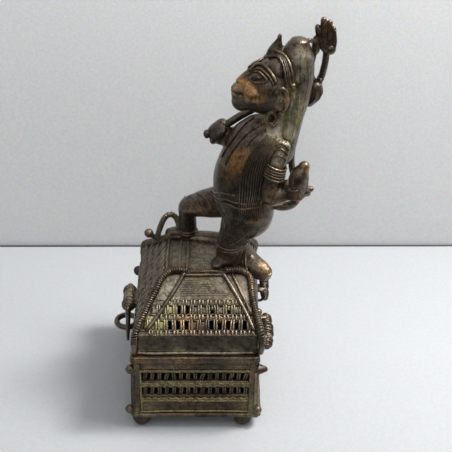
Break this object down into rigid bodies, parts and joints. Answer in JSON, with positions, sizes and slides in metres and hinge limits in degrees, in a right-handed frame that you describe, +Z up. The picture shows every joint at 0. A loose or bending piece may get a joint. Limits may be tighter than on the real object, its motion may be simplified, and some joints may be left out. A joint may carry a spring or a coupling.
{
  "type": "hanuman figure",
  "caption": "Old cast bronze casket on ball feet, its hinged and pierced roof-shaped lid topped by a monkey-faced figure with mace and raised tail striding over a beast.",
  "frame": {"origin": "on the table, under the middle of the overall width and length, taken over the whole from staple ring to raised tail", "axes": "+Z up; -X is the way the figure faces, with the fastening on that side of the box and the hinges at +X; Y along the long sides of the box, near end at -Y"},
  "size_m": [0.1114, 0.0868, 0.2032],
  "materials": {
    "box_bronze": "dark brown old bronze with dull yellow-green in the hollows",
    "lid_bronze": "dark brown old bronze, rubbed golden on face, chest and knee, dusty green-grey on the flat top",
    "pin_bronze": "dark old bronze",
    "hook_bronze": "dark old bronze"
  },
  "bodies": {
    "casket": {"box": "box_bronze", "hinge_pin_near": "pin_bronze", "hinge_pin_far": "pin_bronze"},
    "lid": {"lid_with_figure": "lid_bronze"},
    "hook": {"fastening_hook": "hook_bronze"}
  },
  "joints": [
    {"name": "lid_hinge", "type": "hinge", "parent": "casket", "child": "lid", "pos_m": [0.02384, 0, 0.0452], "axis": [0, 1, 0], "range_deg": [0, 90]},
    {"name": "hook_swing", "type": "hinge", "parent": "lid", "child": "hook", "pos_m": [-0.04696, 0, 0.051], "axis": [0, 1, 0], "range_deg": [0, 110]}
  ]
}
